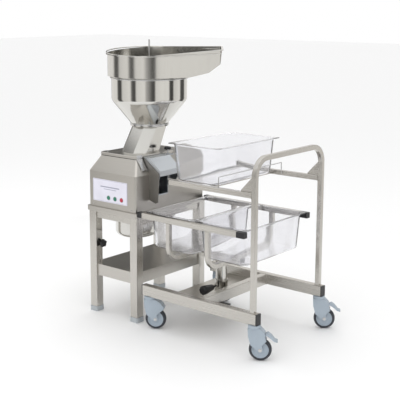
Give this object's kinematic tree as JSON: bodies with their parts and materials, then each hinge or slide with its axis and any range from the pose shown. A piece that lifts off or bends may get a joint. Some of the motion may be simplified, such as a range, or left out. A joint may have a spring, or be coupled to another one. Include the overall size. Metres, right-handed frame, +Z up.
{
  "type": "vegetable preparation machine",
  "caption": "Continuous-feed vegetable cutter with a round feed hopper on a stainless stand, and a docked caster trolley carrying clear gastronorm pans.",
  "frame": {"origin": "on the floor under the centre of the stand's front right foot", "axes": "+X from the stand towards the trolley's handle, +Y from the control panel to the back, +Z up"},
  "size_m": [1.2759, 0.6852, 1.484],
  "materials": {
    "brushed_stainless": "brushed tube",
    "satin_sheet": "satin sheet",
    "polished_steel": "mirror polished stainless",
    "machined_steel": "fine machined",
    "cast_aluminium": "fine cast, satin",
    "dark_plate": "dark satin",
    "black_plastic": "moulded",
    "black_rubber": "smooth rubber",
    "blue_grey_plastic": "moulded nylon",
    "wheel_tyre": "grey-black rubber on a plastic rim",
    "clear_pan": "clear polycarbonate",
    "panel_film": "printed film",
    "green_button": "moulded",
    "red_button": "moulded"
  },
  "bodies": {
    "stand": {"stand_legs": "brushed_stainless", "stand_feet": "blue_grey_plastic", "top_frame": "brushed_stainless", "table_top": "satin_sheet", "lower_shelf": "satin_sheet", "isolation_pad": "black_rubber", "motor_can": "polished_steel", "motor": "cast_aluminium", "housing_shell": "satin_sheet", "cutting_chamber": "cast_aluminium", "control_panel": "panel_film", "cable_gland": "black_plastic", "discharge_hood": "cast_aluminium", "guard_plate": "dark_plate", "housing_brackets": "machined_steel"},
    "start_button": {"start_button": "green_button"},
    "pulse_button": {"pulse_button": "green_button"},
    "stop_button": {"stop_button": "red_button"},
    "spindle": {"drive_shaft": "machined_steel", "cutting_disc": "machined_steel", "ejector": "machined_steel"},
    "feed_head": {"head_seal": "black_rubber", "head_plate": "satin_sheet", "feed_chute": "polished_steel", "hopper_bowl": "polished_steel", "feed_tray": "polished_steel", "hopper_spider": "machined_steel"},
    "agitator": {"agitator": "machined_steel"},
    "latch": {"latch": "machined_steel"},
    "leg_knob": {"leg_knob": "black_plastic"},
    "hood_knob": {"hood_knob": "black_plastic"},
    "trolley": {"trolley_base": "brushed_stainless", "column_deck": "brushed_stainless", "column_sleeve": "polished_steel", "trolley_plugs": "black_plastic", "push_handle": "brushed_stainless", "upper_frame": "brushed_stainless", "caster_cups": "blue_grey_plastic"},
    "column_knob": {"column_knob": "black_plastic"},
    "lift_pedal": {"lift_pedal": "black_plastic"},
    "pan_bail": {"pan_bail": "machined_steel"},
    "tier": {"tier_rails": "brushed_stainless", "tier_plugs": "black_plastic", "left_hoop": "brushed_stainless", "right_hoop": "brushed_stainless", "spreader": "brushed_stainless", "lift_column": "polished_steel"},
    "upper_pan": {"upper_pan": "clear_pan"},
    "lower_left_pan": {"lower_left_pan": "clear_pan"},
    "lower_right_pan": {"lower_right_pan": "clear_pan"},
    "fork_front_left": {"caster_fork_front_left": "blue_grey_plastic"},
    "wheel_front_left": {"caster_wheel_front_left": "wheel_tyre"},
    "fork_back_left": {"caster_fork_back_left": "blue_grey_plastic"},
    "wheel_back_left": {"caster_wheel_back_left": "wheel_tyre"},
    "fork_front_right": {"caster_fork_front_right": "blue_grey_plastic"},
    "wheel_front_right": {"caster_wheel_front_right": "wheel_tyre"},
    "brake_front_right": {"brake_pedal_front_right": "blue_grey_plastic"},
    "fork_back_right": {"caster_fork_back_right": "blue_grey_plastic"},
    "wheel_back_right": {"caster_wheel_back_right": "wheel_tyre"},
    "brake_back_right": {"brake_pedal_back_right": "blue_grey_plastic"}
  },
  "joints": [
    {"name": "start_button_press", "type": "slide", "parent": "stand", "child": "start_button", "axis": [0, 1, 0], "range_m": [0, 0.003], "stiffness_N_per_m": 400},
    {"name": "pulse_button_press", "type": "slide", "parent": "stand", "child": "pulse_button", "axis": [0, 1, 0], "range_m": [0, 0.003], "stiffness_N_per_m": 400},
    {"name": "stop_button_press", "type": "slide", "parent": "stand", "child": "stop_button", "axis": [0, 1, 0], "range_m": [0, 0.003], "stiffness_N_per_m": 400},
    {"name": "spindle_turn", "type": "hinge", "parent": "stand", "child": "spindle", "pos_m": [-0.15, 0.165, 0.7], "axis": [0, 0, 1], "continuous": true},
    {"name": "head_open", "type": "hinge", "parent": "stand", "child": "feed_head", "pos_m": [-0.306, 0.275, 0.874], "axis": [0, -1, 0], "range_deg": [0, 80]},
    {"name": "agitator_turn", "type": "hinge", "parent": "feed_head", "child": "agitator", "pos_m": [-0.15, 0.275, 1.05], "axis": [0, 0, 1], "continuous": true},
    {"name": "latch_open", "type": "hinge", "parent": "stand", "child": "latch", "pos_m": [0.01263, 0.056, 0.81562], "axis": [0, 1, 0], "range_deg": [0, 75]},
    {"name": "leg_knob_turn", "type": "hinge", "parent": "stand", "child": "leg_knob", "pos_m": [-0.27, 0.012, 0.384], "axis": [1, 0, 0], "continuous": true},
    {"name": "hood_knob_turn", "type": "hinge", "parent": "stand", "child": "hood_knob", "pos_m": [-0.009, 0.263, 0.89], "axis": [0, 0, 1], "continuous": true},
    {"name": "trolley_roll", "type": "slide", "parent": "stand", "child": "trolley", "axis": [1, 0, 0], "range_m": [0, 0.7]},
    {"name": "column_knob_turn", "type": "hinge", "parent": "trolley", "child": "column_knob", "pos_m": [0.3565, 0.18, 0.216], "axis": [0, -1, 0], "continuous": true},
    {"name": "lift_pedal_press", "type": "hinge", "parent": "trolley", "child": "lift_pedal", "pos_m": [0.424, 0.137, 0.163], "axis": [0, 1, 0], "range_deg": [0, 14], "stiffness_Nm_per_rad": 0.6, "springref_deg": -28.65},
    {"name": "pan_bail_fold", "type": "hinge", "parent": "trolley", "child": "pan_bail", "pos_m": [0.551, 0.26, 0.7975], "axis": [0, 1, 0], "range_deg": [0, 88]},
    {"name": "tier_lower", "type": "slide", "parent": "trolley", "child": "tier", "axis": [0, 0, -1], "range_m": [0, 0.07]},
    {"name": "upper_pan_lift", "type": "slide", "parent": "trolley", "child": "upper_pan", "axis": [0, 0, 1], "range_m": [0, 0.25]},
    {"name": "lower_left_pan_lift", "type": "slide", "parent": "tier", "child": "lower_left_pan", "axis": [0, 0, 1], "range_m": [0, 0.02]},
    {"name": "lower_right_pan_lift", "type": "slide", "parent": "tier", "child": "lower_right_pan", "axis": [0, 0, 1], "range_m": [0, 0.15]},
    {"name": "swivel_front_left", "type": "hinge", "parent": "trolley", "child": "fork_front_left", "pos_m": [0.122, -0.028, 0.16], "axis": [0, 0, 1], "continuous": true},
    {"name": "roll_front_left", "type": "hinge", "parent": "fork_front_left", "child": "wheel_front_left", "pos_m": [0.14744, -0.0121, 0.055], "axis": [-0.5299, 0.848, 0], "continuous": true},
    {"name": "swivel_back_left", "type": "hinge", "parent": "trolley", "child": "fork_back_left", "pos_m": [0.122, 0.548, 0.16], "axis": [0, 0, 1], "continuous": true},
    {"name": "roll_back_left", "type": "hinge", "parent": "fork_back_left", "child": "wheel_back_left", "pos_m": [0.14744, 0.5639, 0.055], "axis": [-0.5299, 0.848, 0], "continuous": true},
    {"name": "swivel_front_right", "type": "hinge", "parent": "trolley", "child": "fork_front_right", "pos_m": [0.788, -0.028, 0.16], "axis": [0, 0, 1], "continuous": true},
    {"name": "roll_front_right", "type": "hinge", "parent": "fork_front_right", "child": "wheel_front_right", "pos_m": [0.81344, -0.0121, 0.055], "axis": [-0.5299, 0.848, 0], "continuous": true},
    {"name": "brake_press_front_right", "type": "hinge", "parent": "fork_front_right", "child": "brake_front_right", "pos_m": [0.83761, 0.003, 0.131], "axis": [-0.5299, 0.848, 0], "range_deg": [0, 12], "stiffness_Nm_per_rad": 0.8, "springref_deg": -22.92},
    {"name": "swivel_back_right", "type": "hinge", "parent": "trolley", "child": "fork_back_right", "pos_m": [0.788, 0.548, 0.16], "axis": [0, 0, 1], "continuous": true},
    {"name": "roll_back_right", "type": "hinge", "parent": "fork_back_right", "child": "wheel_back_right", "pos_m": [0.81344, 0.5639, 0.055], "axis": [-0.5299, 0.848, 0], "continuous": true},
    {"name": "brake_press_back_right", "type": "hinge", "parent": "fork_back_right", "child": "brake_back_right", "pos_m": [0.83761, 0.579, 0.131], "axis": [-0.5299, 0.848, 0], "range_deg": [0, 12], "stiffness_Nm_per_rad": 0.8, "springref_deg": -22.92}
  ]
}
